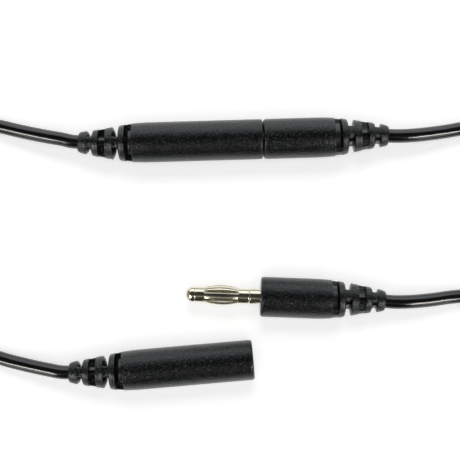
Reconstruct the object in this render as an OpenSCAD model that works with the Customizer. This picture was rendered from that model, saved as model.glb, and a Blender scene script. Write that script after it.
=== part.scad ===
// Two flexible ground leads with in-line 4 mm couplings for static control at a bench.
// The left lead ends in two sockets and the right lead in two sprung plugs. The upper
// pair is pushed together and the lower pair stands apart. The spare length of each lead
// is wound into one two-layer coil, held by a tie. X runs along the couplings to the
// right, Y runs from the parted pair to the joined pair, and Z runs up from the bench.

/* [Handles] */
// Diameter of the moulded handles
handle_d = 8.6; // [8.4:0.1:10]
// Diameter of a handle's rear end, where its strain relief starts
handle_rear_d = 8.3; // [8:0.1:8.4]
// Length over which a handle eases down to its rear diameter
handle_ease = 3; // [1:0.5:5]
// Radius on the rims of a handle
handle_edge_r = 0.5; // [0.2:0.1:0.8]
// Length of a socket's handle
socket_handle_l = 28; // [27:0.2:36]
// Length of a plug's handle
plug_handle_l = 15.2; // [14.8:0.2:22]

/* [Strain relief] */
// Length of the two wide slots
wide_slot = 1.5; // [1.4:0.1:2.4]
// Length of the two narrow slots, measured at their webs
narrow_slot = 0.8; // [0.7:0.1:1.6]
// Length of the two thin rings
thin_ring = 1.6; // [1.2:0.1:2]
// Length of the ring between the wide slots
middle_ring = 1.8; // [1.5:0.1:2.6]
// Length of the collar at the lead's exit
end_collar = 2; // [1.6:0.1:3]
// Diameter of the first ring
relief_d = 7.9; // [7.2:0.1:8]
// Diameter of the collar at the lead's exit
relief_end_d = 4.4; // [4.2:0.1:5]
// Lean of a ring's face towards a narrow slot, from its foot to its rim
ring_lean = 0.3; // [0.1:0.05:0.4]
// Thickness of the webs that join the rings
web_t = 1.9; // [1.4:0.1:2.4]
// Radius on the rims of the rings
ring_edge_r = 0.22; // [0.1:0.02:0.26]

/* [Inner core] */
// Diameter of the first moulding, which holds the joint inside a handle
core_d = 5.8; // [5.4:0.1:6.2]
// Radius of the core's rounded rear end, which shows in the first slot
core_nose_r = 1.3; // [0.8:0.05:1.3]
// Length of the contact or pin that the core's front grips
core_grip = 3.5; // [2:0.5:5]

/* [Socket contact] */
// Bore of the contact tube
bore_d = 4.06; // [4.04:0.01:4.1]
// Wall of the contact tube
contact_wall = 0.5; // [0.3:0.05:0.6]
// Depth of the bore
bore_l = 18; // [17:0.5:20]
// Thickness of the contact's closed end
contact_floor = 1.5; // [1:0.1:2]
// Depth of the contact's mouth behind the handle's face
contact_recess = 0.8; // [0.5:0.1:1.2]
// Diameter of the handle's mouth
mouth_d = 4.7; // [4.5:0.1:5]

/* [Plug pin] */
// Diameter of the pin's shaft
shaft_d = 3.5; // [3.4:0.02:3.6]
// Length of the shaft in front of the handle
shaft_l = 2.4; // [2:0.1:3]
// Length of the shaft inside the handle
root_l = 6; // [5:0.5:6]
// Diameter of the anchoring collar inside the handle
anchor_d = 5; // [4.4:0.1:5.4]
// Diameter of the neck that the cage turns on
neck_d = 2.8; // [2.6:0.02:2.9]
// Diameter of the rounded nose
nose_d = 3.44; // [3.36:0.02:3.5]
// Length of the rounded nose
nose_l = 2; // [1.9:0.1:2.4]

/* [Spring cage] */
// Thickness of the cage's sheet
leaf_t = 0.22; // [0.18:0.01:0.26]
// Number of leaves
leaf_count = 6; // [5:1:8]
// Width of the gap between two leaves
leaf_gap = 0.55; // [0.3:0.05:0.7]
// Length of the leaves
leaf_l = 7.2; // [6.4:0.2:7.6]
// Diameter across the leaves of the free cage
cage_free_d = 4.4; // [4.3:0.02:4.5]
// Length of the collar at the nose
front_band = 2.1; // [1.6:0.1:2.4]
// Length of the collar at the shaft
rear_band = 2.3; // [1.8:0.1:2.6]
// Angle of the cage's slit from straight up, to the left of the way that the pin points
slit_turn = 205; // [180:5:235]

/* [Joint inside the handle] */
// Diameter of the copper conductor
conductor_d = 1.1; // [0.9:0.1:1.2]
// Wall of the crimp sleeve
crimp_wall = 0.45; // [0.3:0.05:0.6]
// Length of the crimp sleeve
crimp_l = 3; // [2.6:0.2:3]
// Length of the contact's tail in the crimp sleeve
tail_l = 3; // [2.6:0.2:3]
// Diameter of the safety resistor
resistor_d = 1.8; // [1.6:0.1:2.4]
// Length of the safety resistor's barrel
resistor_l = 3.2; // [3:0.1:3.4]
// Diameter of the resistor's two wires
wire_d = 0.6; // [0.5:0.05:0.6]

/* [Leads] */
// Diameter of the lead's jacket
lead_d = 3; // [2.6:0.1:3.2]
// Turns in each layer of a coil
layer_turns = 4; // [2:1:5]
// Radius of the outermost turn, at the middle of the lead
coil_r = 22; // [20:0.5:22]
// Gap between neighbouring turns
turn_gap = 0.45; // [0.42:0.01:0.5]
// Thickness of the tie's strip
tie_t = 0.4; // [0.3:0.05:0.6]
// Width of the tie's strip
tie_w = 3; // [2:0.5:5]

/* [Fits] */
// Gap between two mouldings and whatever they are moulded round
mould_fit = 0.02; // [0.01:0.01:0.04]
// Radial clearance of the cage on its neck
spin_fit = 0.05; // [0.03:0.01:0.08]
// End play of the cage between the shaft and the nose
cage_play = 0.1; // [0.06:0.02:0.2]
// Radial clearance of the squeezed cage in the contact's bore
slide_fit = 0.05; // [0.03:0.01:0.08]
// Gap between the faces of the joined pair
joined_gap = 0.1; // [0.1:0.1:1]
// Gap between a coil and its tie
tie_fit = 0.1; // [0.05:0.05:0.3]

/* [Layout] */
// Place of the joined pair's meeting faces along X
joined_x = 7.4; // [6:0.1:9]
// Place of the joined pair's meeting faces along Y
joined_y = 24.65; // [23:0.05:26]
// Angle of the joined pair to X
joined_turn = 1.65; // [0:0.05:3]
// Place of the parted socket's mouth along X
parted_socket_x = 5.3; // [4:0.1:7]
// Place of the parted socket's mouth along Y
parted_socket_y = -22.65; // [-24:0.05:-22]
// Angle of the parted socket to X
parted_socket_turn = 5; // [3:0.1:6]
// Place of the parted plug's face along X
parted_plug_x = 6.8; // [6:0.1:9]
// Place of the parted plug's face along Y
parted_plug_y = -9.15; // [-10:0.05:-8]
// Angle of the parted plug to X
parted_plug_turn = -2.1; // [-3:0.1:0]
// Distance of the coils' middles from the origin along X
coil_x = 75; // [75:0.5:90]

/* [Hidden] */
$fn = 48;

// Colours of the finishes
moulding_color = [0.16, 0.17, 0.18];
core_color = [0.1, 0.1, 0.11];
jacket_color = [0.05, 0.05, 0.055];
nickel_color = [0.78, 0.75, 0.7];
copper_color = [0.72, 0.45, 0.3];
crimp_color = [0.7, 0.7, 0.72];
resistor_color = [0.35, 0.5, 0.62];

// A connector is [x, y, turn, roll, flex]: its face's place, the way it points, its roll
// about its own axis and the angle that its strain relief is flexed by.
joined_socket = concat(
    beside([joined_x, joined_y], joined_turn, -joined_gap / 2), [joined_turn, 0, -2.5]);
joined_plug = concat(
    beside([joined_x, joined_y], joined_turn, joined_gap / 2), [joined_turn + 180, 19, 0]);
parted_socket = [parted_socket_x, parted_socket_y, parted_socket_turn, -10, -4.3];
parted_plug = [parted_plug_x, parted_plug_y, parted_plug_turn + 180, 25, 0.9];

// A connector's own X runs out of its face, so everything inside it lies at negative X.
relief_l = 2 * wide_slot + 2 * narrow_slot + 2 * thin_ring + middle_ring + end_collar;
lead_bore_d = lead_d + 2 * mould_fit;
collar_edge_r = 0.75 * (relief_end_d - lead_d) / 2;
knee_swell = 0.04;
knee_half = 0.3;
contact_d = bore_d + 2 * contact_wall;
contact_end = contact_recess + bore_l + contact_floor;
tail_d = conductor_d;
crimp_bore_d = conductor_d + 2 * mould_fit;
crimp_d = crimp_bore_d + 2 * crimp_wall;
end_gap = 0.2;
socket_crimp_x = contact_end + tail_l / 2;
socket_jacket_x = socket_crimp_x + crimp_l + end_gap;
socket_core_x = contact_end - core_grip;

// The pin from its root to its tip, and the resistor joint behind it
cage_x = shaft_l + cage_play / 2;
cage_l = rear_band + leaf_l + front_band;
neck_end = cage_x + cage_l + cage_play / 2;
pin_tip = neck_end + nose_l;
cup_depth = 2;
cup_d = wire_d + 0.1;
resistor_x = root_l + 0.6;
rear_wire_l = 1.8;
wire_end = resistor_x + resistor_l + rear_wire_l;
plug_crimp_x = resistor_x + resistor_l + end_gap;
plug_jacket_x = plug_crimp_x + crimp_l + end_gap;
plug_core_x = root_l - core_grip + 1;
anchor_x = 1.2;
anchor_l = 1;

// The coils and their ties
lead_r = lead_d / 2;
turn_pitch = lead_d + turn_gap;
coil_low_z = tie_t + tie_fit + lead_r;
coil_high_z = coil_low_z + turn_pitch;
layer_angle = 360 * layer_turns;
coil_angle = 2 * layer_angle + 180;
inner_coil_r = coil_r - turn_pitch * (layer_turns + 0.25);
// A coil is [x, y, angle of its entry, sense]: 1 winds to the left and -1 to the right.
left_coil = [-coil_x, 10, 77, 1];
right_coil = [coil_x + 0.5, 10.5, 95, -1];

// Free stretches of the leads between a connector and a coil, laid down by hand
left_upper_route = [
    [-35.6, 24.6, 4.2], [-38.9, 25.2, 3.8], [-44.2, 26.3, 2.9], [-49.6, 27.6, 2],
    [-55, 28.8, 1.65], [-61, 29.8, 1.7]
];
left_lower_route = [
    [-38.8, -24.9, 3.8], [-44.3, -23.9, 2.7], [-49.7, -22.6, 1.9], [-55, -20.7, 1.65],
    [-60.5, -18.5, 1.7], [-66, -16, 2.4], [-71, -13.9, 3.9]
];
right_upper_route = [
    [38.5, 25.4, 4.1], [43.9, 26, 3.1], [49.3, 26.9, 2.1], [55, 28.2, 1.65],
    [60.5, 29.9, 1.65], [65.5, 31.3, 1.7]
];
right_lower_route = [
    [37.8, -10.3, 4.1], [43, -10, 3.1], [49.3, -9.3, 2], [55, -9.1, 1.65],
    [60.5, -9.9, 2.1], [66, -11.2, 3.3], [70.5, -12, 4.6]
];

function unit(v) = v / norm(v);
function heading(a) = [cos(a), sin(a)];
function beside(p, a, d) = p + d * heading(a);
function raised(p, z) = [p.x, p.y, z];

// Where a connector's lead leaves it, and the way that the lead points there
function exit_place(c, handle_l) =
    beside(
        beside([c.x, c.y], c[2], -(handle_l + wide_slot)),
        c[2] + c[4], -(relief_l - wide_slot));
function exit_heading(c) = heading(c[2] + c[4] + 180);

// Corners of an outline are [x, y, radius]; each becomes an arc of that radius.
function corner(a, p, b, r, steps) =
    let (
        u = unit(a - p), v = unit(b - p), half = acos(u * v) / 2,
        middle = p + unit(u + v) * r / sin(half),
        s = p + u * r / tan(half) - middle, e = p + v * r / tan(half) - middle,
        from = atan2(s.y, s.x), span = atan2(e.y, e.x) - from,
        turn = span > 180 ? span - 360 : span < -180 ? span + 360 : span
    )
    [for (k = [0:steps]) middle + r * heading(from + turn * k / steps)];
function flat(p) = [p.x, p.y];
function outline(points, steps = 5) =
    let (n = len(points))
    [for (i = [0:n - 1])
        each (points[i][2] > 0
            ? corner(flat(points[(i + n - 1) % n]), flat(points[i]),
                flat(points[(i + 1) % n]), points[i][2], steps)
            : [flat(points[i])])];

// Turns an outline of [radius, place] points about the connector's axis.
module turned(points, steps = 5) {
    rotate([0, 90, 0])
        rotate_extrude()
            polygon(outline(points, steps));
}

// A round bar from x0 to x1
module bar(x0, x1, d) {
    translate([min(x0, x1), 0, 0])
        rotate([0, 90, 0])
            cylinder(h = abs(x1 - x0), d = d);
}

// Puts a connector's pieces in place on the bench.
module laid(c) {
    translate([c.x, c.y, handle_d / 2])
        rotate([0, 0, c[2]])
            children();
}

// Swings what lies behind the first slot by the relief's flex.
module flexed(c, handle_l) {
    translate([-(handle_l + wide_slot), 0, 0])
        rotate([0, 0, c[4]])
            translate([handle_l + wide_slot, 0, 0])
                children();
}

// A bar along the lead, from x0 round the flex of the relief to its exit; it swells a
// little where it flexes.
module lead_bar(c, handle_l, x0, d, past = 0) {
    knee = -(handle_l + wide_slot);
    bar(-x0, knee, d);
    bar(knee - knee_half, knee + knee_half, d + 2 * knee_swell);
    flexed(c, handle_l)
        bar(knee, -(handle_l + relief_l) - past, d);
}

function relief_r(u) =
    relief_d / 2 + (relief_end_d - relief_d) / 2 * (u - wide_slot) / (relief_l - wide_slot);

// One ring of the relief, from u to u + l behind the handle; each face leans by its own amount.
module ring(handle_l, u, l, front_lean, rear_lean, edge_r) {
    foot = lead_d / 2;
    turned([
        [foot, -(handle_l + u + l), 0],
        [foot, -(handle_l + u), 0],
        [relief_r(u), -(handle_l + u + front_lean), edge_r],
        [relief_r(u + l), -(handle_l + u + l - rear_lean), edge_r]
    ]);
}

// The web across a slot: flat for the wide slots, upright for the narrow ones; it tapers
// with the rings and lies a little below their rims.
module web(handle_l, u, l, upright) {
    bite = 0.45;
    front = -(handle_l + u - bite);
    rear = -(handle_l + u + l + bite);
    front_rim = min(relief_r(u - bite), relief_d / 2) - ring_edge_r / 2;
    rear_rim = relief_r(u + l + bite) - ring_edge_r / 2;
    intersection() {
        turned([[0, rear, 0], [rear_rim, rear, 0], [front_rim, front, 0], [0, front, 0]]);
        translate([-(handle_l + u + l / 2), 0, 0])
            rotate([upright ? 90 : 0, 0, 0])
                cube([l + 4 * bite, 2 * handle_d, web_t], center = true);
    }
}

// The slotted relief, straight and unrolled
module relief_rings(handle_l) {
    second_slot = wide_slot + thin_ring;
    third_slot = second_slot + narrow_slot + middle_ring;
    fourth_slot = third_slot + wide_slot + thin_ring;
    collar = fourth_slot + narrow_slot;
    ring(handle_l, wide_slot, thin_ring, 0, ring_lean, ring_edge_r);
    web(handle_l, second_slot, narrow_slot, true);
    ring(handle_l, second_slot + narrow_slot, middle_ring, ring_lean, 0, ring_edge_r);
    web(handle_l, third_slot, wide_slot, false);
    ring(handle_l, third_slot + wide_slot, thin_ring, 0, ring_lean, ring_edge_r);
    web(handle_l, fourth_slot, narrow_slot, true);
    ring(handle_l, collar, end_collar, ring_lean, 0, collar_edge_r);
}

// The handle's outer moulding with its relief; the children are what it closes round.
module overmould(c, handle_l) {
    color(moulding_color)
        laid(c)
            difference() {
                union() {
                    turned([
                        [0, -handle_l, 0],
                        [handle_rear_d / 2, -handle_l, handle_edge_r / 2],
                        [handle_d / 2, -(handle_l - handle_ease), 0],
                        [handle_d / 2, 0, handle_edge_r],
                        [0, 0, 0]
                    ]);
                    rotate([c[3], 0, 0])
                        web(handle_l, 0, wide_slot, false);
                    flexed(c, handle_l)
                        rotate([c[3], 0, 0])
                            relief_rings(handle_l);
                }
                lead_bar(c, handle_l, handle_l - 1, lead_bore_d, 1);
                children();
            }
}

// The core's outer form, larger all round by grow
module core_form(handle_l, front, grow = 0) {
    nose_tip = handle_l + wide_slot - end_gap;
    turned([
        [0, -(nose_tip + grow), 0],
        [core_d / 2 + grow, -(nose_tip + grow), core_nose_r],
        [core_d / 2 + grow, -(front - grow), 0],
        [0, -(front - grow), 0]
    ], 8);
}

// The first moulding, closed round its children and the lead
module core(c, handle_l, front, jacket_x, crimp_x) {
    color(core_color)
        laid(c)
            difference() {
                core_form(handle_l, front);
                lead_bar(c, handle_l, jacket_x - end_gap, lead_bore_d, 1);
                bar(-(crimp_x - end_gap), -jacket_x, crimp_d + 2 * mould_fit);
                children();
            }
}

module crimp(c, crimp_x) {
    color(crimp_color)
        laid(c)
            difference() {
                bar(-crimp_x, -(crimp_x + crimp_l), crimp_d);
                bar(-(crimp_x - 1), -(crimp_x + crimp_l + 1), crimp_bore_d);
            }
}

module conductor(c, handle_l, start) {
    color(copper_color)
        laid(c)
            lead_bar(c, handle_l, start, conductor_d);
}

// The end of the jacket, held by the core and the relief
module lead_end(c, handle_l, jacket_x) {
    color(jacket_color)
        laid(c)
            difference() {
                lead_bar(c, handle_l, jacket_x, lead_d);
                lead_bar(c, handle_l, jacket_x - 1, conductor_d + 2 * mould_fit, 1);
            }
}

// The socket's contact, larger all round by grow and without its bore where it is a cutter
module contact_form(grow = 0) {
    bar(-(contact_recess - grow), -(contact_end + grow), contact_d + 2 * grow);
    bar(-contact_end, -(contact_end + tail_l + grow), tail_d + 2 * grow);
}

module socket_handle(c) {
    overmould(c, socket_handle_l) {
        bar(1, -contact_recess - mould_fit, mouth_d);
        contact_form(mould_fit);
        core_form(socket_handle_l, socket_core_x, mould_fit);
    }
}

module socket_core(c) {
    core(c, socket_handle_l, socket_core_x, socket_jacket_x, socket_crimp_x)
        contact_form(mould_fit);
}

module socket_contact(c) {
    color(nickel_color)
        laid(c)
            difference() {
                contact_form();
                bar(1, -(contact_recess + bore_l), bore_d);
            }
}

// The pin's outer form from its root to its tip
module pin_form(grow = 0) {
    root_edge = 0.15;
    turned([
        [0, -(root_l + grow), 0],
        [shaft_d / 2 + grow, -(root_l + grow), 0],
        [shaft_d / 2 + grow, -(anchor_x + anchor_l + grow), 0],
        [anchor_d / 2 + grow, -(anchor_x + anchor_l + grow), 0],
        [anchor_d / 2 + grow, -(anchor_x - grow), 0],
        [shaft_d / 2 + grow, -(anchor_x - grow), 0],
        [shaft_d / 2 + grow, shaft_l, root_edge],
        [neck_d / 2, shaft_l, 0],
        [neck_d / 2, neck_end, 0],
        [nose_d / 2, neck_end, root_edge / 2],
        [nose_d / 2, pin_tip, nose_d / 2 - 0.02],
        [0, pin_tip, 0]
    ], 10);
}

module plug_handle(c) {
    overmould(c, plug_handle_l) {
        pin_form(mould_fit);
        core_form(plug_handle_l, plug_core_x, mould_fit);
    }
}

module plug_core(c) {
    core(c, plug_handle_l, plug_core_x, plug_jacket_x, plug_crimp_x) {
        pin_form(mould_fit);
        bar(-root_l, -resistor_x, wire_d + 2 * mould_fit);
        bar(-(resistor_x - mould_fit), -plug_crimp_x, resistor_d + 2 * mould_fit);
    }
}

module plug_pin(c) {
    color(nickel_color)
        laid(c)
            difference() {
                pin_form();
                bar(-(root_l + 1), -(root_l - cup_depth), cup_d);
            }
}

// The safety resistor: a barrel with a wire at each end
module plug_resistor(c) {
    color(resistor_color)
        laid(c) {
            turned([
                [0, -(resistor_x + resistor_l), 0],
                [resistor_d / 2, -(resistor_x + resistor_l), 0.3],
                [resistor_d / 2, -resistor_x, 0.3],
                [0, -resistor_x, 0]
            ]);
            bar(-(root_l - cup_depth + end_gap), -wire_end, wire_d);
        }
}

// The cage is a strip rolled round the neck: two collars joined by bowed leaves.
module plug_cage(c, across) {
    band_r = neck_d / 2 + spin_fit + leaf_t;
    bow = across / 2 - band_r;
    arc_r = (pow(leaf_l / 2, 2) + bow * bow) / (2 * bow);
    arc_middle = [cage_x + rear_band + leaf_l / 2, across / 2 - arc_r];
    half = asin(leaf_l / 2 / arc_r);
    steps = 14;
    outer = [for (k = [0:steps])
        arc_middle + arc_r * heading(90 + half - 2 * half * k / steps)];
    inner = [for (k = [0:steps])
        arc_middle + (arc_r - leaf_t) * heading(90 - half + 2 * half * k / steps)];
    front = cage_x + cage_l;
    side = concat(
        [[cage_x, band_r - leaf_t], [cage_x, band_r]], outer,
        [[front, band_r], [front, band_r - leaf_t]],
        [[front - front_band, band_r - leaf_t]],
        [for (k = [1:steps - 1]) inner[k]],
        [[cage_x + rear_band, band_r - leaf_t]]);
    color(nickel_color)
        laid(c)
            difference() {
                rotate([0, 90, 0])
                    rotate_extrude()
                        polygon([for (p = side) [p.y, p.x]]);
                for (k = [0:leaf_count - 1])
                    rotate([slit_turn + 360 * k / leaf_count, 0, 0])
                        translate([cage_x + rear_band - leaf_t, -leaf_gap / 2, 0])
                            cube([leaf_l + 2 * leaf_t, leaf_gap, across]);
                rotate([slit_turn, 0, 0])
                    translate([cage_x - 1, -leaf_gap / 2, 0])
                        cube([cage_l + 2, leaf_gap, across]);
            }
}

// The middle of a wound lead after it has turned by a degrees
function wound(coil, a) =
    let (
        inward = min(a, coil_angle - a),
        r = coil_r - turn_pitch * inward / 360,
        climb = min(max((a - layer_angle) / 180, 0), 1),
        z = coil_low_z + (coil_high_z - coil_low_z) * (1 - cos(180 * climb)) / 2
    )
    raised([coil.x, coil.y] + r * heading(coil[2] + coil[3] * a), z);

// A coil's two ends run straight on for one lead diameter, along these headings.
function coil_heading(coil) = coil[3] * [-sin(coil[2]), cos(coil[2])];
function coil_start(coil) =
    wound(coil, 0) - lead_d * raised(coil_heading(coil), 0);
function coil_end(coil) =
    wound(coil, coil_angle) - lead_d * raised(coil_heading(coil), 0);
rings_per_turn = 24;
function coil_path(coil) =
    concat(
        [coil_start(coil)],
        [for (k = [0:coil_angle * rings_per_turn / 360])
            wound(coil, 360 * k / rings_per_turn)],
        [coil_end(coil)]);

// A tube along a path, closed at both ends; from and to are its headings there.
module tube(path, from, to, d, sides) {
    last = len(path) - 1;
    points = [for (i = [0:last])
        let (
            t = i == 0 ? from : i == last ? to : unit(path[i + 1] - path[i - 1]),
            across = unit(cross([0, 0, 1], t)),
            up = cross(t, across)
        )
        for (k = [0:sides - 1])
            let (a = 90 + 360 * k / sides)
            path[i] + d / 2 * (cos(a) * across + sin(a) * up)];
    walls = [for (i = [0:last - 1], k = [0:sides - 1])
        let (
            a = i * sides + k, b = i * sides + (k + 1) % sides,
            c = a + sides, e = b + sides
        )
        each [[a, c, b], [b, c, e]]];
    caps = [for (k = [1:sides - 2])
        each [[0, k, k + 1], [last * sides, last * sides + k + 1, last * sides + k]]];
    polyhedron(points = points, faces = concat(walls, caps));
}

// A free stretch, from a connector's exit along its route to one end of a coil
module stretch(c, handle_l, route, coil_point, coil_way) {
    start = raised(exit_place(c, handle_l), handle_d / 2);
    way = raised(exit_heading(c), 0);
    color(jacket_color)
        tube(
            concat([start, start + lead_d / 2 * way], route,
                [coil_point - lead_d / 2 * coil_way, coil_point]),
            way, coil_way, lead_d, 8);
}

module coil(wind) {
    path = coil_path(wind);
    way = raised(coil_heading(wind), 0);
    apart = [for (i = [0:len(path) - 1])
        for (j = [i + rings_per_turn / 2:1:len(path) - 1]) norm(path[i] - path[j])];
    echo(least_gap_in_coil = min(apart) - lead_d);
    color(jacket_color)
        tube(path, way, -way, lead_d, 6);
}

// A flat strip closed round the coil's turns, on the side away from the connectors
module coil_tie(wind) {
    inside = inner_coil_r - lead_r - tie_fit;
    outside = coil_r + lead_r + tie_fit;
    tall = coil_high_z + lead_r + tie_fit - tie_t;
    round_r = 1;
    color(jacket_color)
        translate([wind.x, wind.y, 0])
            rotate([0, 0, wind[2] + wind[3] * 90])
                translate([0, tie_w / 2, 0])
                    rotate([90, 0, 0])
                        linear_extrude(tie_w)
                            difference() {
                                polygon(outline([
                                    [inside - tie_t, 0, round_r + tie_t],
                                    [outside + tie_t, 0, round_r + tie_t],
                                    [outside + tie_t, tall + 2 * tie_t, round_r + tie_t],
                                    [inside - tie_t, tall + 2 * tie_t, round_r + tie_t]
                                ]));
                                polygon(outline([
                                    [inside, tie_t, round_r],
                                    [outside, tie_t, round_r],
                                    [outside, tall + tie_t, round_r],
                                    [inside, tall + tie_t, round_r]
                                ]));
                            }
}

module joined_socket_handle() socket_handle(joined_socket);
module joined_socket_core() socket_core(joined_socket);
module joined_socket_contact() socket_contact(joined_socket);
module joined_socket_crimp() crimp(joined_socket, socket_crimp_x);
module joined_socket_conductor()
    conductor(joined_socket, socket_handle_l, socket_crimp_x + crimp_l / 2 + end_gap);
module joined_socket_lead_end() lead_end(joined_socket, socket_handle_l, socket_jacket_x);

module parted_socket_handle() socket_handle(parted_socket);
module parted_socket_core() socket_core(parted_socket);
module parted_socket_contact() socket_contact(parted_socket);
module parted_socket_crimp() crimp(parted_socket, socket_crimp_x);
module parted_socket_conductor()
    conductor(parted_socket, socket_handle_l, socket_crimp_x + crimp_l / 2 + end_gap);
module parted_socket_lead_end() lead_end(parted_socket, socket_handle_l, socket_jacket_x);

module joined_plug_handle() plug_handle(joined_plug);
module joined_plug_core() plug_core(joined_plug);
module joined_plug_pin() plug_pin(joined_plug);
module joined_plug_cage() plug_cage(joined_plug, bore_d - 2 * slide_fit);
module joined_plug_resistor() plug_resistor(joined_plug);
module joined_plug_crimp() crimp(joined_plug, plug_crimp_x);
module joined_plug_conductor() conductor(joined_plug, plug_handle_l, wire_end + end_gap);
module joined_plug_lead_end() lead_end(joined_plug, plug_handle_l, plug_jacket_x);

module parted_plug_handle() plug_handle(parted_plug);
module parted_plug_core() plug_core(parted_plug);
module parted_plug_pin() plug_pin(parted_plug);
module parted_plug_cage() plug_cage(parted_plug, cage_free_d);
module parted_plug_resistor() plug_resistor(parted_plug);
module parted_plug_crimp() crimp(parted_plug, plug_crimp_x);
module parted_plug_conductor() conductor(parted_plug, plug_handle_l, wire_end + end_gap);
module parted_plug_lead_end() lead_end(parted_plug, plug_handle_l, plug_jacket_x);

module left_lead_upper()
    stretch(joined_socket, socket_handle_l, left_upper_route,
        coil_start(left_coil), raised(coil_heading(left_coil), 0));
module left_lead_coil() coil(left_coil);
module left_lead_lower()
    stretch(parted_socket, socket_handle_l, left_lower_route,
        coil_end(left_coil), raised(coil_heading(left_coil), 0));
module left_coil_tie() coil_tie(left_coil);

module right_lead_upper()
    stretch(joined_plug, plug_handle_l, right_upper_route,
        coil_start(right_coil), raised(coil_heading(right_coil), 0));
module right_lead_coil() coil(right_coil);
module right_lead_lower()
    stretch(parted_plug, plug_handle_l, right_lower_route,
        coil_end(right_coil), raised(coil_heading(right_coil), 0));
module right_coil_tie() coil_tie(right_coil);

joined_socket_handle();
joined_socket_core();
joined_socket_contact();
joined_socket_crimp();
joined_socket_conductor();
joined_socket_lead_end();
parted_socket_handle();
parted_socket_core();
parted_socket_contact();
parted_socket_crimp();
parted_socket_conductor();
parted_socket_lead_end();
joined_plug_handle();
joined_plug_core();
joined_plug_pin();
joined_plug_cage();
joined_plug_resistor();
joined_plug_crimp();
joined_plug_conductor();
joined_plug_lead_end();
parted_plug_handle();
parted_plug_core();
parted_plug_pin();
parted_plug_cage();
parted_plug_resistor();
parted_plug_crimp();
parted_plug_conductor();
parted_plug_lead_end();
left_lead_upper();
left_lead_coil();
left_lead_lower();
left_coil_tie();
right_lead_upper();
right_lead_coil();
right_lead_lower();
right_coil_tie();
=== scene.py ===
"""Two flexible ground leads with in-line 4 mm couplings, laid out on a pale bench."""
import math
from collections import namedtuple

import bmesh
import bpy
from mathutils import Matrix, Vector


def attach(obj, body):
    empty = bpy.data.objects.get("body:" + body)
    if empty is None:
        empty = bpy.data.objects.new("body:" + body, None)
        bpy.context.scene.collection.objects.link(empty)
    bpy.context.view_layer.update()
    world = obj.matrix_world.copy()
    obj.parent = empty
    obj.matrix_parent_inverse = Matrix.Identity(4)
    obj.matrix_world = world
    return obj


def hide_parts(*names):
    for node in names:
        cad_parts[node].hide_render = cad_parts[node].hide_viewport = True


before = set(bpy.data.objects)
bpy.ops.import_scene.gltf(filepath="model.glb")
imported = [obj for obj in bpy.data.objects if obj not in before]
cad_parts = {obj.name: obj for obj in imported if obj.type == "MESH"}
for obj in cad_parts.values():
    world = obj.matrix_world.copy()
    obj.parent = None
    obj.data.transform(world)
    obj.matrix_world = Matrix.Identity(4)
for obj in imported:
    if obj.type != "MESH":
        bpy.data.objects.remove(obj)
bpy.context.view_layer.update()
scene = bpy.context.scene

# The camera. It looks straight down at the four connectors, from 0.21 m above the bench.
# Lengths are written in millimetres in this file and multiplied by MM.
MM = 0.001
camera = bpy.data.objects.new("camera", bpy.data.cameras.new("camera"))
camera.location = Vector((0.3, 5.15, 214.3)) * MM
camera.data.lens = 76.6
camera.data.sensor_width = 36
camera.data.clip_start = 0.01
camera.data.clip_end = 20
scene.collection.objects.link(camera)
scene.camera = camera


# The leads. Each is stranded copper in a soft glossy black PVC jacket. It runs from inside
# one moulded handle to inside another, and its spare length lies in a two-layer coil.
class Amount:
    """A number that varies over a surface. Sums with it add Math nodes."""

    def __init__(self, finish, socket):
        self.finish = finish
        self.socket = socket

    def sum(self, operation, first, second):
        return self.finish.node("Math", {"operation": operation}, {0: first, 1: second})

    def __add__(self, other):
        return self.sum("ADD", self, other)

    def __mul__(self, other):
        return self.sum("MULTIPLY", self, other)

    __radd__ = __add__


class Finish:
    """A material, built on a Principled shader; constants go on that shader's sockets."""

    def __init__(self, name, constants):
        self.material = bpy.data.materials.new(name)
        self.material.use_nodes = True
        self.tree = self.material.node_tree
        self.shader = self.tree.nodes["Principled BSDF"]
        for socket, value in constants.items():
            self.shader.inputs[socket].default_value = value

    def feed(self, socket, value):
        """Links an amount to a socket, or sets the socket to a plain value."""
        if isinstance(value, Amount):
            self.tree.links.new(value.socket, socket)
        else:
            socket.default_value = value

    def node(self, kind, settings=None, inputs=None, output=0):
        """A new node's output, as an amount."""
        made = self.tree.nodes.new("ShaderNode" + kind)
        for key, value in (settings or {}).items():
            setattr(made, key, value)
        for key, value in (inputs or {}).items():
            self.feed(made.inputs[key], value)
        return Amount(self, made.outputs[output])

    def wear(self, **varying):
        """Links varying amounts to the shader's sockets."""
        for socket, value in varying.items():
            self.feed(self.shader.inputs[socket.replace("_", " ")], value)

    def noise(self, size, detail=2, stretch=None):
        """Noise whose patches are about size millimetres across."""
        place = self.node("TexCoord", output="Object")
        if stretch:
            place = self.node("Mapping", inputs={"Vector": place, "Scale": stretch})
        return self.node("TexNoise", inputs={
            "Vector": place, "Scale": 1 / (size * MM), "Detail": detail, "Roughness": 0.5})

    def mixed(self, share, first, second):
        """A colour between two colours; a Mix node has its colour sockets at 6, 7 and 2."""
        return self.node("Mix", {"data_type": "RGBA"}, {
            "Factor": share, 6: (*first, 1), 7: (*second, 1)}, 2)

    def bumps(self, height, depth):
        """A bumpy surface whose bumps are depth millimetres deep."""
        return self.node("Bump", inputs={
            "Height": height, "Distance": depth * MM, "Strength": 1})


jacket = Finish("glossy black PVC", {"IOR": 1.52})
jacket_patches = jacket.noise(5, 3)
jacket.wear(
    Base_Color=jacket.mixed(jacket_patches, (0.003, 0.003, 0.0033), (0.007, 0.007, 0.0075)),
    Roughness=0.12 + jacket.noise(1.5, 3) * 0.1,
    Normal=jacket.bumps(jacket.noise(3.5, 2), 0.05))

lead_d = 3
lead_r = lead_d / 2
handle_z = 4.3
socket_handle_l, plug_handle_l = 28, 15.2
wide_slot = 1.5
relief_l = 11.6

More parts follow.
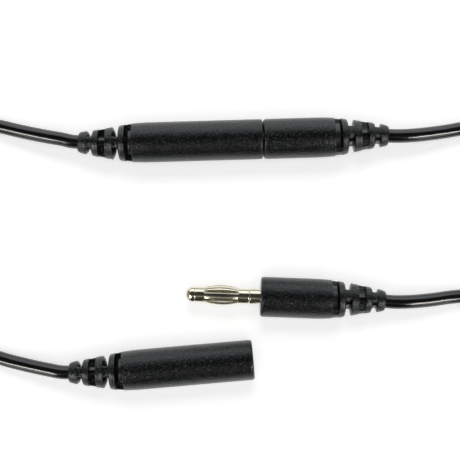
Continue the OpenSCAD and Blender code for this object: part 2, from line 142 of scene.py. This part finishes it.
# A connector's x and y are the middle of its face, and it points along turn. Its angles are
# in degrees: roll is about its axis, flex bends its relief in the first slot and curl is the
# further bend of the relief. The slot_floor is the width of its narrow slots at the bottom.
Connector = namedtuple("Connector", "name body x y turn roll flex curl handle_l slot_floor")
joined_x, joined_y, joined_turn, joined_gap = 7.4, 24.65, 1.65, 0.1
joined_way = Vector((math.cos(math.radians(joined_turn)),
                     math.sin(math.radians(joined_turn))))
socket_face = Vector((joined_x, joined_y)) - joined_gap / 2 * joined_way
plug_face = Vector((joined_x, joined_y)) + joined_gap / 2 * joined_way
joined_socket = Connector(
    "joined_socket", "left_lead", *socket_face, joined_turn, 0, 0, -7.5,
    socket_handle_l, 0.3)
joined_plug = Connector(
    "joined_plug", "right_lead", *plug_face, joined_turn + 180, 19, 1.5, -5,
    plug_handle_l, 0.8)
parted_socket = Connector(
    "parted_socket", "left_lead", 5.3, -22.65, 5, -10, -2.5, -3.5,
    socket_handle_l, 0.3)
parted_plug = Connector(
    "parted_plug", "right_lead", 6.8, -9.15, 177.9, 25, 2, -5.5,
    plug_handle_l, 0.8)


def heading(connector, behind):
    """The way that a connector points, that far behind its face: its relief flexes in the
    first slot and curls on towards the lead."""
    u = min(max(behind - connector.handle_l, 0), relief_l)
    return math.radians(connector.turn + connector.flex * min(u / wide_slot, 1)
                        + connector.curl * (u / relief_l) ** 2)


def along(connector, behind):
    """The point on a connector's axis that far behind its face."""
    point = Vector((connector.x, connector.y, handle_z))
    straight = min(behind, connector.handle_l)
    bend_steps = 40
    step = (behind - straight) / bend_steps
    steps = [(0, straight)]
    steps += [(straight + step * (k + 0.5), step) for k in range(bend_steps)]
    for place, step in steps:
        way = heading(connector, place)
        point -= step * Vector((math.cos(way), math.sin(way), 0))
    return point


coil_r = 22
turn_pitch = 3.45
coil_low_z, coil_high_z = 2, 5.45
layer_turns = 4
layer_angle = layer_turns * 360
climb_angle = 180
coil_angle = 2 * layer_angle + climb_angle

# A lead enters its coil at entry degrees round it, and turns by sense from there on.
Coil = namedtuple("Coil", "x y entry sense")
left_coil = Coil(-75, 10, 77, 1)
right_coil = Coil(75.5, 10.5, 95, -1)


def wound(coil, angle):
    """The middle of a wound lead after it has turned by angle degrees.

    It winds inwards in the lower layer, climbs, and winds outwards in the upper one.
    """
    r = coil_r - turn_pitch * min(angle, coil_angle - angle) / 360
    climb = min(max((angle - layer_angle) / climb_angle, 0), 1)
    rise = (1 - math.cos(math.pi * climb)) / 2
    way = math.radians(coil.entry + coil.sense * angle)
    return Vector((coil.x + r * math.cos(way), coil.y + r * math.sin(way),
                   coil_low_z + (coil_high_z - coil_low_z) * rise))


def coil_heading(coil):
    """The way that a lead runs where it enters its coil."""
    way = math.radians(coil.entry)
    return coil.sense * Vector((-math.sin(way), math.cos(way), 0))


# Where the leads' points lie behind a handle's rear face.
relief_stations = (-2, 0.3, wide_slot + 0.5, 5, 8.5, relief_l, relief_l + lead_r)
coil_step = 15


def led_out(connector, route):
    """The lead's points from inside a handle, through its relief and along its route."""
    inside = [along(connector, connector.handle_l + u) for u in relief_stations]
    return inside + [Vector(point) for point in route]


def lead(name, start, start_route, coil, end, end_route):
    """A lead between two connectors, with its coil on the way."""
    back = coil_heading(coil) * lead_d
    points = led_out(start, start_route)
    points += [wound(coil, 0) - 1.5 * back, wound(coil, 0) - back]
    points += [wound(coil, angle) for angle in range(0, coil_angle + 1, coil_step)]
    points += [wound(coil, coil_angle) - back, wound(coil, coil_angle) - 1.5 * back]
    points += reversed(led_out(end, end_route))
    curve = bpy.data.curves.new(name, "CURVE")
    curve.dimensions = "3D"
    curve.bevel_depth = lead_r * MM
    curve.bevel_resolution = 5
    curve.resolution_u = 5
    curve.use_fill_caps = True
    spline = curve.splines.new("BEZIER")
    spline.bezier_points.add(len(points) - 1)
    for knot, point in zip(spline.bezier_points, points):
        knot.co = point * MM
        knot.handle_left_type = knot.handle_right_type = "AUTO"
    curve.materials.append(jacket.material)
    piece = bpy.data.objects.new(name, curve)
    scene.collection.objects.link(piece)
    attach(piece, start.body)
    side = start.body
    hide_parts(side + "_upper", side + "_coil", side + "_lower",
                start.name + "_lead_end", end.name + "_lead_end")
    return piece


left_lead = lead(
    "left_ground_lead",
    joined_socket, [
        (-35.6, 24.6, 4.2), (-38.9, 25.2, 3.8), (-44.2, 26.3, 2.9), (-49.6, 27.6, 2),
        (-55, 28.8, 1.65), (-61, 29.8, 1.7)],
    left_coil,
    parted_socket, [
        (-38.8, -24.9, 3.8), (-44.3, -23.9, 2.7), (-49.7, -22.6, 1.9), (-55, -20.7, 1.65),
        (-60.5, -18.5, 1.7), (-66, -16, 2.4), (-71, -13.9, 3.9)])
right_lead = lead(
    "right_ground_lead",
    joined_plug, [
        (38.5, 25.4, 4.1), (43.9, 26, 3.1), (49.3, 26.9, 2.1), (55, 28.2, 1.65),
        (60.5, 29.9, 1.65), (65.5, 31.3, 1.7)],
    right_coil,
    parted_plug, [
        (37.8, -10.3, 4.1), (43, -10, 3.1), (49.3, -9.3, 2), (55, -9.1, 1.65),
        (60.5, -9.9, 2.1), (66, -11.2, 3.3), (70.5, -12, 4.6)])


# The coil ties. Each is a flat woven strip, closed round all the turns of a coil on the
# side away from the connectors.
tie_cloth = Finish("black woven strip", {"Sheen Weight": 0.3})
threads = tie_cloth.node("TexWave", {"wave_type": "BANDS", "bands_direction": "Z"}, {
    "Vector": tie_cloth.node("TexCoord", output="Object"), "Scale": 600, "Distortion": 0.4})
fibres = tie_cloth.noise(0.12, 2)
tie_cloth.wear(
    Base_Color=tie_cloth.mixed(threads * 0.5 + fibres * 0.5, (0.006, 0.006, 0.007),
                               (0.022, 0.022, 0.024)),
    Roughness=0.65 + fibres * 0.2,
    Normal=tie_cloth.bumps(threads + fibres, 0.03))
tie_t, tie_w, tie_fit = 0.4, 3, 0.1
tie_bend_r = 1.2
tie_strips = 6


def rounded(corners, steps=5):
    """Corners are (x, y, radius) round a closed outline; each becomes an arc."""
    points = []
    for i, (x, y, radius) in enumerate(corners):
        here = Vector((x, y))
        if not radius:
            points.append(here)
            continue
        before = (Vector(corners[i - 1][:2]) - here).normalized()
        after = (Vector(corners[(i + 1) % len(corners)][:2]) - here).normalized()
        half = before.angle(after) / 2
        middle = here + (before + after).normalized() * radius / math.sin(half)
        first = here + before * radius / math.tan(half) - middle
        sweep = first.angle_signed(here + after * radius / math.tan(half) - middle)
        points += [middle + Matrix.Rotation(-sweep * k / steps, 2) @ first
                   for k in range(steps + 1)]
    return points


def finished(bm, name, place, material, body, slot, *replaced, smooth=35):
    """Puts a bmesh in millimetres in its place and makes it a piece.

    Edges sharper than smooth degrees stay sharp; at 0 none does.
    """
    bmesh.ops.transform(bm, matrix=Matrix.Scale(MM, 4) @ place, verts=bm.verts)
    mesh = bpy.data.meshes.new(name)
    bm.to_mesh(mesh)
    bm.free()
    mesh.shade_smooth()
    if smooth:
        mesh.set_sharp_from_angle(angle=math.radians(smooth))
    mesh.materials.append(material)
    piece = bpy.data.objects.new(name, mesh)
    scene.collection.objects.link(piece)
    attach(piece, body)
    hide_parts(*replaced)
    return piece


def coil_tie(side, coil):
    """A strip along a closed outline round all the turns of a coil."""
    room = lead_r + tie_fit + tie_t / 2
    inside = coil_r - turn_pitch * coil_angle / 2 / 360 - room
    outside = coil_r + room
    top = coil_high_z + room
    bm = bmesh.new()
    ring = [bm.verts.new((p.x, -tie_w / 2, p.y)) for p in rounded([
        (inside, tie_t / 2, tie_bend_r), (outside, tie_t / 2, tie_bend_r),
        (outside, top, tie_bend_r), (inside, top, tie_bend_r)])]
    edges = [bm.edges.new((a, b)) for a, b in zip(ring, ring[1:] + ring[:1])]
    for _ in range(tie_strips):
        strip = bmesh.ops.extrude_edge_only(bm, edges=edges)["geom"]
        edges = [e for e in strip if isinstance(e, bmesh.types.BMEdge)
                 and abs(e.verts[0].co.y - e.verts[1].co.y) < 1e-6]
        moved = [v for v in strip if isinstance(v, bmesh.types.BMVert)]
        bmesh.ops.translate(bm, vec=(0, tie_w / tie_strips, 0), verts=moved)
        edges = [e for e in edges if e.verts[0] in moved]
    bmesh.ops.recalc_face_normals(bm, faces=bm.faces)
    place = (Matrix.Translation((coil.x, coil.y, 0))
             @ Matrix.Rotation(math.radians(coil.entry + coil.sense * 90), 4, "Z"))
    piece = finished(bm, side + "_tie_strip", place, tie_cloth.material, side + "_lead",
                     "tie_plastic", side + "_coil_tie", smooth=50)
    wall = piece.modifiers.new("wall", "SOLIDIFY")
    wall.thickness = tie_t * MM
    wall.offset = 0
    edge = piece.modifiers.new("edge", "BEVEL")
    edge.width = 0.1 * MM
    edge.segments = 2
    edge.limit_method = "ANGLE"
    return piece


left_tie = coil_tie("left", left_coil)
right_tie = coil_tie("right", right_coil)
for piece, connector, tie in ((left_lead, joined_socket, left_tie),
                              (right_lead, joined_plug, right_tie)):
    exit_point = along(connector, connector.handle_l + relief_l) * MM

# The handles. Each is moulded in matt charcoal soft plastic over a core, with a slotted
# relief behind it: four tapering rings, joined by webs that lie flat and stand upright by
# turns.
handle_rubber = Finish("charcoal soft moulding", {
    "IOR": 1.44, "Specular Tint": (0.92, 0.985, 1, 1)})

# The moulding's fine grain: shallow bumps, and small paler specks in its colour that are
# painted glints of that grain.
grain = handle_rubber.noise(0.3, 1)
painted_glint_specks = handle_rubber.node("MapRange", {"clamp": True}, {
    "Value": grain, "From Min": 0.54, "From Max": 0.68})
cloudy = handle_rubber.noise(4, 4)
handle_rubber.wear(
    # Painted glints: the pale specks in the base colour stand in for light caught by the
    # grain.
    Base_Color=handle_rubber.mixed(painted_glint_specks, (0.0003, 0.0004, 0.0005), (0.034, 0.037, 0.039)),
    Roughness=0.28 + cloudy * 0.06,
    Normal=handle_rubber.bumps(grain, 0.1))

handle_r, handle_rear_r, handle_ease = 4.3, 4.15, 3
handle_edge_r = 0.55
relief_r, relief_end_r, collar_edge_r = 3.95, 2.2, 0.52
columns = 32


def circle_section(r):
    """Points of a round section, (y, z), that keeps its radius when it is subdivided."""
    column = math.tau / columns
    r *= 6 / (4 + 2 * math.cos(column))
    return [Vector((math.cos(k * column), math.sin(k * column))) * r for k in range(columns)]


# The webs are plates that reach into the lead, to a radius where nothing shows.
hidden_r = 1.4
web_half_t = 0.95
web_inset = 0.08
rim_support = 0.22


def web_section(r, upright):
    """Points of a section through a pair of webs, as many as a round section has."""
    corner = math.asin(web_half_t / r)
    eased = corner - rim_support / r
    inner = math.sqrt(hidden_r ** 2 - web_half_t ** 2)
    rim = r * math.cos(corner)
    quarter = [(r, 0), (r * math.cos(eased), r * math.sin(eased)), (rim, web_half_t),
               (rim - rim_support, web_half_t), (inner + 0.3, web_half_t),
               (inner, web_half_t)]
    quarter += [(hidden_r * math.cos(math.radians(a)), hidden_r * math.sin(math.radians(a)))
                for a in (62, 76, 90)]
    if upright:
        quarter = [(z, y) for y, z in reversed(quarter)]
    half = quarter[:-1] + [(-y, z) for y, z in reversed(quarter)][:-1]
    return [Vector(p) for p in half + [(-y, -z) for y, z in half]]


def relief_radius(u):
    """The outer radius of the relief that far behind the handle's rear face."""
    return relief_r + (relief_end_r - relief_r) * (u - wide_slot) / (relief_l - wide_slot)


def slot_sections(u0, u1, front_r, rear_r, upright, front_lean, rear_lean):
    """Sections across a slot, from one ring's rim down to the webs and out to the next rim.

    The slot's floor runs from u0 to u1; its faces curve away from it by their leans.
    """
    shares = (1, 0.88, 0.6, 0.1)

    def web(u):
        r = front_r + (rear_r - front_r) * (u - u0) / (u1 - u0)
        return web_section(r - web_inset, upright)

    def face(u, r, share, lean):
        points = [a.lerp(b, share) for a, b in zip(web(u), circle_section(r))]
        return [(u + lean * (max(p.length - lead_r, 0) / (r - lead_r)) ** 2, p)
                for p in points]

    sections = [face(u0, front_r, share, -front_lean) for share in shares]
    sections += [[(u, p) for p in web(u)]
                 for u in (u0, u0 + 0.1, (u0 + u1) / 2, u1 - 0.1, u1)]
    sections += [face(u1, rear_r, share, rear_lean) for share in reversed(shares)]
    return sections


def round_sections(profile):
    """Round sections from (distance, radius) pairs, as lists of (distance, point)."""
    return [[(u, p) for p in circle_section(r)] for u, r in profile]


# Where the slots behind the first one start. A narrow slot is as wide as narrow_slot where
# its webs end; at the rim it starts narrow_lip sooner and ends narrow_reach after its start.
second_slot, third_slot, fourth_slot = 3.1, 5.7, 8.8
narrow_slot, narrow_lip, narrow_reach = 0.8, 0.35, 1.1


def relief_sections(floor):
    """All sections behind a handle's rear face, as lists of (distance behind it, point).

    The floor is the width left at the bottom of the two narrow slots.
    """
    r = relief_radius

    def ring(front, rear):
        return round_sections([(u, r(u)) for u in (front, (front + rear) / 2, rear)])

    def wide(start, front_r):
        end = start + wide_slot
        return slot_sections(start, end, front_r, r(end), False, 0, 0)

    def narrow(start):
        return slot_sections(start, start + floor, r(start), r(start + narrow_slot), True,
                             narrow_lip, narrow_reach - floor)

    sections = wide(0, handle_rear_r) + ring(1.7, 2.3) + narrow(second_slot)
    sections += ring(4.5, 5.5) + wide(third_slot, r(third_slot))
    sections += ring(7.4, 8) + narrow(fourth_slot)
    collar = [(10.05, r(10.05)), (10.6, r(10.6))]
    collar += [(relief_l - collar_edge_r * (1 - math.sin(a)),
                relief_end_r - collar_edge_r * (1 - math.cos(a)))
               for a in (0.15, 0.55, 1.0, 1.4)]
    collar += [(relief_l - 0.03, 1.56), (relief_l - 0.2, hidden_r), (relief_l - 1, hidden_r)]
    return sections + round_sections(collar)


def moulded_handle(connector, front):
    """A handle from the profile of its front, (x, r), which starts in its bore.

    It is a skin over sections along a straight axis, which is then rolled and bent as its
    connector lies.
    """
    handle_l = connector.handle_l
    ease = handle_l - handle_ease
    edge = [(-handle_edge_r * (1 - math.cos(a)), handle_r - handle_edge_r * (1 - math.sin(a)))
            for a in (0.1, 0.5, 0.95, 1.4)]
    body = [(-1.2, handle_r), (-3, handle_r), (-handle_l / 2, handle_r),
            (-ease + 0.5, handle_r), (-ease - 0.5, handle_r - 0.025),
            (-(handle_l - 0.6), handle_rear_r + 0.03), (-(handle_l - 0.2), handle_rear_r)]
    sections = round_sections(front + edge + body)
    sections += [[(-(handle_l + u), p) for u, p in section]
                 for section in relief_sections(connector.slot_floor)]
    bm = bmesh.new()
    across_x = Matrix(((0, 0, 1, 0), (1, 0, 0, 0), (0, 1, 0, 0), (0, 0, 0, 1)))
    loop = bmesh.ops.create_circle(
        bm, cap_ends=True, segments=columns, radius=1, matrix=across_x)["verts"]
    for i, section in enumerate(sections):
        if i:
            rim = [loop[k].link_edges for k in range(columns)]
            edges = [next(e for e in rim[k] if loop[(k + 1) % columns] in e.verts)
                     for k in range(columns)]
            made = bmesh.ops.extrude_edge_only(bm, edges=edges)["geom"]
            fresh = {v for v in made if isinstance(v, bmesh.types.BMVert)}
            loop = [next(e.other_vert(v) for e in v.link_edges if e.other_vert(v) in fresh)
                    for v in loop]
        for vert, (x, p) in zip(loop, section):
            vert.co = (x, p.x, p.y)
    bm.faces.new(loop)
    bmesh.ops.recalc_face_normals(bm, faces=bm.faces)
    roll = Matrix.Rotation(math.radians(connector.roll), 3, "X")
    for vert in bm.verts:
        x, y, z = roll @ vert.co
        way = heading(connector, -x)
        vert.co = along(connector, -x) + Vector((-y * math.sin(way), y * math.cos(way), z))
    piece = finished(bm, connector.name + "_grip", Matrix.Identity(4),
                     handle_rubber.material, connector.body, "handle_rubber",
                     connector.name + "_handle", smooth=0)
    rounding = piece.modifiers.new("rounding", "SUBSURF")
    rounding.levels = rounding.render_levels = 2


def placed(connector):
    """Where a connector's straight pieces go: the middle of its face, and its axis."""
    return (Matrix.Translation((connector.x, connector.y, handle_z))
            @ Matrix.Rotation(math.radians(connector.turn), 4, "Z"))


# The profiles of the fronts, from the end of the bore out to the flat of the face.
socket_front = [(-20, 2.55), (-19.8, 2.55), (-1.1, 2.55), (-0.84, 2.55), (-0.84, 2.36),
                (-0.6, 2.35), (-0.12, 2.37), (0, 2.5), (0, 2.8), (0, 3.45)]
plug_front = [(-1, 1.76), (-0.8, 1.76), (-0.1, 1.78), (0, 1.9), (0, 2.2), (0, 3.4)]
for connector in (joined_socket, parted_socket):
    moulded_handle(connector, socket_front)
for connector in (joined_plug, parted_plug):
    moulded_handle(connector, plug_front)

# The cores. Each is a harder black moulding round the joint inside a handle; its rounded
# end shows in the relief's first slot.
core_plastic = Finish("satin black core", {"IOR": 1.5})
core_plastic.wear(
    Base_Color=core_plastic.mixed(
        core_plastic.noise(2, 3), (0.005, 0.005, 0.0055), (0.012, 0.012, 0.013)),
    Roughness=0.3 + core_plastic.noise(0.8, 2) * 0.15,
    Normal=core_plastic.bumps(core_plastic.noise(0.7, 2), 0.02))


def turned(connector, part, outline, finish, slot, node):
    """Turns an outline of (x, r, radius) corners about a connector's axis."""
    bm = bmesh.new()
    verts = [bm.verts.new((p.x, 0, p.y)) for p in rounded(outline, 10)]
    edges = [bm.edges.new((a, b)) for a, b in zip(verts, verts[1:] + verts[:1])
             if a.co.z > 1e-6 or b.co.z > 1e-6]
    bmesh.ops.spin(bm, geom=verts + edges, cent=(0, 0, 0), axis=(1, 0, 0),
                   angle=math.tau, steps=64, use_merge=True)
    bmesh.ops.remove_doubles(bm, verts=bm.verts, dist=1e-4)
    bmesh.ops.recalc_face_normals(bm, faces=bm.faces)
    finished(bm, connector.name + "_" + part, placed(connector), finish.material,
             connector.body, slot, connector.name + "_" + node)


# A core's front lies that far behind the face; its rear end reaches core_tip past the
# handle and is more rounded on a socket than on a plug.
core_r, core_bore_r, core_tip = 2.9, 1.52, 1.3
for connector, front, tip_edge_r in (
        (joined_socket, 16.8, 0.9), (parted_socket, 16.8, 0.9),
        (joined_plug, 3.5, 0.25), (parted_plug, 3.5, 0.25)):
    rear = connector.handle_l + core_tip
    turned(connector, "inner_core", [
        (-rear, core_bore_r, 0.05), (-rear, core_r, tip_edge_r), (-front, core_r, 0.1),
        (-front, core_bore_r, 0)],
        core_plastic, "core_plastic", "core")

# The contacts. Each is a nickel-plated brass tube, closed at its inner end, that grips a
# plug's cage; it stands just behind the handle's mouth.
nickel = Finish("bright nickel plate", {"Metallic": 1})
nickel_tone = nickel.noise(1.6, 3)
nickel.wear(
    Base_Color=nickel.mixed(nickel_tone, (0.55, 0.525, 0.415), (0.68, 0.65, 0.52)),
    Roughness=0.13 + nickel.noise(0.6, 3) * 0.14,
    Normal=nickel.bumps(nickel.noise(1.2, 2), 0.012))
for connector in (joined_socket, parted_socket):
    turned(connector, "contact_tube", [
        (-0.8, 2.03, 0.15), (-0.8, 2.53, 0.1), (-20.3, 2.53, 0.3), (-20.3, 0.55, 0),
        (-23.3, 0.55, 0.1), (-23.3, 0, 0), (-18.8, 0, 0), (-18.8, 2.03, 0.2)],
        nickel, "nickel_plate", "contact")

# The pins. Each is turned from nickel-plated brass: a shaft anchored in its handle, a thin
# neck for the cage and a rounded nose.
for connector in (joined_plug, parted_plug):
    turned(connector, "turned_pin", [
        (-6, 0, 0), (-6, 1.75, 0.1), (-2.2, 1.75, 0), (-2.2, 2.5, 0.1), (-1.2, 2.5, 0.1),
        (-1.2, 1.75, 0), (2.4, 1.75, 0.25), (2.4, 1.4, 0), (14.1, 1.4, 0),
        (14.1, 1.72, 0.06), (16.1, 1.72, 1.66), (16.1, 0, 0)],
        nickel, "nickel_plate", "pin")

# The spring cages. Each is a sheet of sprung bronze, nickel plated, stamped into six
# leaves between two bands and rolled round the pin's neck, where it turns freely.
leaves = 6
leaf_t, leaf_l, band_r = 0.22, 7.2, 1.67
cage_x0, cage_x1 = 2.45, 14.05
leaf_x0 = cage_x0 + 2.3
leaf_x1 = leaf_x0 + leaf_l
bow_steps = 14
leaf_columns, gap_columns = 7, 3
pitch_columns = leaf_columns + gap_columns
cage_steps = leaves * pitch_columns
slit_turn = 205
free_cage_d, seated_cage_d = 4.4, 3.96


def spring_cage(connector, across, body):
    """A cage that is that wide across its bowed leaves, slit along one of its gaps."""
    bow = across / 2 - band_r
    outline = [(cage_x0, band_r - 0.05), (cage_x0 + 0.08, band_r), (cage_x0 + 1.2, band_r),
               (leaf_x0 - 0.3, band_r)]
    outline += [(leaf_x0 + leaf_l * k / bow_steps,
                 band_r + bow * math.sin(math.pi * k / bow_steps) ** 0.8)
                for k in range(bow_steps + 1)]
    outline += [(leaf_x1 + 0.3, band_r), (cage_x1 - 1, band_r), (cage_x1 - 0.08, band_r),
                (cage_x1, band_r - 0.05)]
    bm = bmesh.new()
    column = math.tau / cage_steps
    first = math.radians(slit_turn) - gap_columns / 2 * column
    seam = Matrix.Rotation(first, 3, "X")
    verts = [bm.verts.new(seam @ Vector((x, 0, r))) for x, r in outline]
    edges = [bm.edges.new(pair) for pair in zip(verts, verts[1:])]
    bmesh.ops.spin(bm, geom=verts + edges, cent=(0, 0, 0), axis=(1, 0, 0),
                   angle=math.tau, steps=cage_steps, use_merge=True)
    cut = []
    for face in bm.faces:
        middle = face.calc_center_median()
        place = int((math.atan2(-middle.y, middle.z) - first) % math.tau / column)
        if place < gap_columns or (
                place % pitch_columns < gap_columns and leaf_x0 < middle.x < leaf_x1):
            cut.append(face)
    bmesh.ops.delete(bm, geom=cut, context="FACES")
    bmesh.ops.recalc_face_normals(bm, faces=bm.faces)
    piece = finished(bm, connector.name + "_spring_cage", placed(connector),
                     nickel.material, body, "nickel_plate", connector.name + "_cage",
                     smooth=50)
    wall = piece.modifiers.new("wall", "SOLIDIFY")
    wall.thickness = leaf_t * MM
    wall.offset = -1
    rounding = piece.modifiers.new("rounding", "SUBSURF")
    rounding.levels = rounding.render_levels = 2


spring_cage(joined_plug, seated_cage_d, "joined_cage")
spring_cage(parted_plug, free_cage_d, "parted_cage")

# The joints inside the handles. A tinned sleeve is crimped round each copper conductor,
# and each plug has a lacquered safety resistor before it.
tin = Finish("dull tin", {"Metallic": 1})
tin.wear(Base_Color=tin.mixed(tin.noise(0.8), (0.55, 0.55, 0.56), (0.68, 0.68, 0.7)),
         Roughness=0.3 + tin.noise(0.5) * 0.2)
copper = Finish("copper strands", {"Metallic": 1})
strands = copper.noise(0.15, 1, (0.1, 1, 1))
copper.wear(Base_Color=copper.mixed(strands, (0.5, 0.24, 0.12), (0.8, 0.45, 0.3)),
            Roughness=0.25 + strands * 0.2, Normal=copper.bumps(strands, 0.05))
lacquer = Finish("resistor lacquer", {"Coat Weight": 0.4})
lacquer.wear(Base_Color=lacquer.mixed(lacquer.noise(1), (0.16, 0.3, 0.4), (0.22, 0.38, 0.5)),
             Roughness=0.3 + lacquer.noise(0.4) * 0.2)
hidden_finishes = {"_crimp": tin, "_conductor": copper, "_resistor": lacquer}
for name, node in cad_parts.items():
    for ending, finish in hidden_finishes.items():
        if name.endswith(ending):
            node.data.materials.clear()
            node.data.materials.append(finish.material)

# The bench and the light. A pale floor in a dim room, with a wide window behind, a screen
# at each side and a warm panel overhead. The window and the side lamps show in reflections
# but don't light matt surfaces; the back lamp and the ceiling do the reverse.
floor = Finish("pale bench", {"Base Color": (0.8, 0.8, 0.8, 1), "Roughness": 0.9})
rays = floor.tree.nodes.new("ShaderNodeLightPath").outputs
seen = (Amount(floor, rays["Is Camera Ray"]) * 0.57
        + Amount(floor, rays["Is Glossy Ray"]) * 0.8)
floor.shader.inputs["Emission Color"].default_value = (1, 1, 1, 1)
floor.feed(floor.shader.inputs["Emission Strength"], seen)
bm = bmesh.new()
bmesh.ops.create_grid(bm, x_segments=1, y_segments=1, size=6)
floor_mesh = bpy.data.meshes.new("bench")
bm.to_mesh(floor_mesh)
bm.free()
floor_mesh.materials.append(floor.material)
bench = bpy.data.objects.new("bench", floor_mesh)
bench.location.z = -0.05 * MM
scene.collection.objects.link(bench)

world = bpy.data.worlds.new("room")
world.use_nodes = True
background = world.node_tree.nodes["Background"].inputs
background["Color"].default_value = (1, 1, 1, 1)
background["Strength"].default_value = 0.04
scene.world = world


def lamp(name, place, width, depth, radiance, colour=(1, 1, 1)):
    """A soft lamp of that radiance, turned to the middle of the bench."""
    light = bpy.data.lights.new(name, "AREA")
    light.shape = "RECTANGLE"
    light.size, light.size_y = width, depth
    light.energy = radiance * math.pi * width * depth
    light.color = colour
    made = bpy.data.objects.new(name, light)
    made.location = place
    made.rotation_euler = (-Vector(place)).to_track_quat("-Z", "Y").to_euler()
    scene.collection.objects.link(made)
    return made


lamp("window", (0, 1.1, 0.4), 2.4, 1.04, 1.85, (0.97, 1, 1.01)).visible_diffuse = False
lamp("left_screen", (-1.1, 0.1, 0.5), 0.9, 0.6, 0.4)
lamp("right_screen", (1.1, 0.1, 0.5), 0.9, 0.6, 0.4)
lamp("warm_panel", (0, -0.53, 1.13), 1.6, 0.36, 0.29, (1, 0.98, 0.93))
for side in (-1, 1):
    lamp("side_lamp", (side * 0.62, -0.47, 0.65), 0.4, 0.16, 22,
         (1, 0.96, 0.9)).visible_diffuse = False
    lamp("low_side_lamp", (side * 0.75, -0.75, 0.35), 0.5, 0.4, 2.6).visible_diffuse = False
lamp("back_lamp", (0, 0.7, 0.97), 0.5, 0.38, 6.5).visible_glossy = False
lamp("ceiling", (0, -0.25, 1.25), 1.1, 1.1, 1.4).visible_glossy = False

scene.view_settings.view_transform = "Standard"
